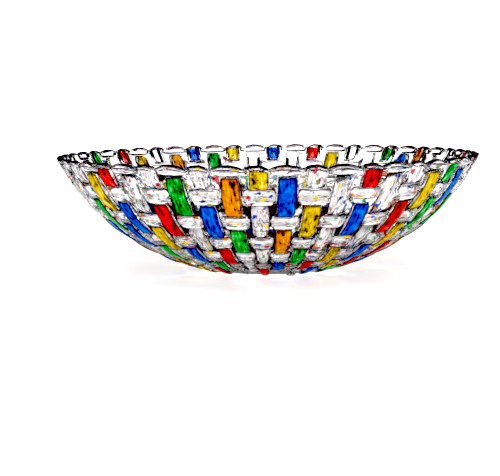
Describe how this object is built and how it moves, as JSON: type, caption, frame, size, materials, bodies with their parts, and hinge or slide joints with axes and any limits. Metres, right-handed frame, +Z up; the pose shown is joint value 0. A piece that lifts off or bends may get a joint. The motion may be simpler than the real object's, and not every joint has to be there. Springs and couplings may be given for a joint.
{
  "type": "art glass bowl",
  "caption": "Wide shallow clear glass bowl, pressed outside in a basket weave, with coloured enamel panes on the straps and clear foot pads.",
  "frame": {"origin": "middle of the surface that the bowl stands on, on the bowl's axis", "axes": "+Z up along the bowl's axis; -Y towards the front, where strap 0 stands"},
  "size_m": [0.2998, 0.2998, 0.0825],
  "materials": {
    "clear_glass": "fire-polished, brilliant",
    "clear_pad": "soft clear plastic",
    "red_enamel": "translucent brushed enamel",
    "yellow_enamel": "translucent brushed enamel",
    "blue_enamel": "translucent brushed enamel",
    "green_enamel": "translucent brushed enamel",
    "orange_enamel": "translucent brushed enamel"
  },
  "bodies": {
    "root": {"blue_pane_r1_s26": "blue_enamel", "blue_pane_r1_s30": "blue_enamel", "blue_pane_r2_s01": "blue_enamel", "blue_pane_r2_s09": "blue_enamel", "blue_pane_r2_s19": "blue_enamel", "blue_pane_r3_s04": "blue_enamel", "blue_pane_r3_s16": "blue_enamel", "blue_pane_r3_s28": "blue_enamel", "blue_pane_r3_s36": "blue_enamel", "blue_pane_r3_s46": "blue_enamel", "blue_pane_r3_s50": "blue_enamel", "foot_pad_a": "clear_pad", "foot_pad_b": "clear_pad", "foot_pad_c": "clear_pad", "glass_body": "clear_glass", "green_pane_r1_s08": "green_enamel", "green_pane_r1_s20": "green_enamel", "green_pane_r1_s36": "green_enamel", "green_pane_r2_s29": "green_enamel", "green_pane_r2_s49": "green_enamel", "green_pane_r3_s08": "green_enamel", "green_pane_r3_s10": "green_enamel", "green_pane_r3_s22": "green_enamel", "green_pane_r3_s44": "green_enamel", "orange_pane_r1_s18": "orange_enamel", "orange_pane_r2_s15": "orange_enamel", "orange_pane_r2_s31": "orange_enamel", "orange_pane_r2_s51": "orange_enamel", "orange_pane_r3_s34": "orange_enamel", "red_pane_r1_s04": "red_enamel", "red_pane_r1_s14": "red_enamel", "red_pane_r1_s24": "red_enamel", "red_pane_r1_s34": "red_enamel", "red_pane_r1_s46": "red_enamel", "red_pane_r2_s37": "red_enamel", "red_pane_r3_s06": "red_enamel", "red_pane_r3_s18": "red_enamel", "red_pane_r3_s30": "red_enamel", "red_pane_r3_s40": "red_enamel", "red_pane_r3_s48": "red_enamel", "yellow_pane_r1_s00": "yellow_enamel", "yellow_pane_r1_s28": "yellow_enamel", "yellow_pane_r2_s07": "yellow_enamel", "yellow_pane_r2_s23": "yellow_enamel", "yellow_pane_r2_s33": "yellow_enamel", "yellow_pane_r2_s45": "yellow_enamel", "yellow_pane_r3_s02": "yellow_enamel", "yellow_pane_r3_s14": "yellow_enamel", "yellow_pane_r3_s24": "yellow_enamel", "yellow_pane_r3_s38": "yellow_enamel"}
  },
  "joints": []
}
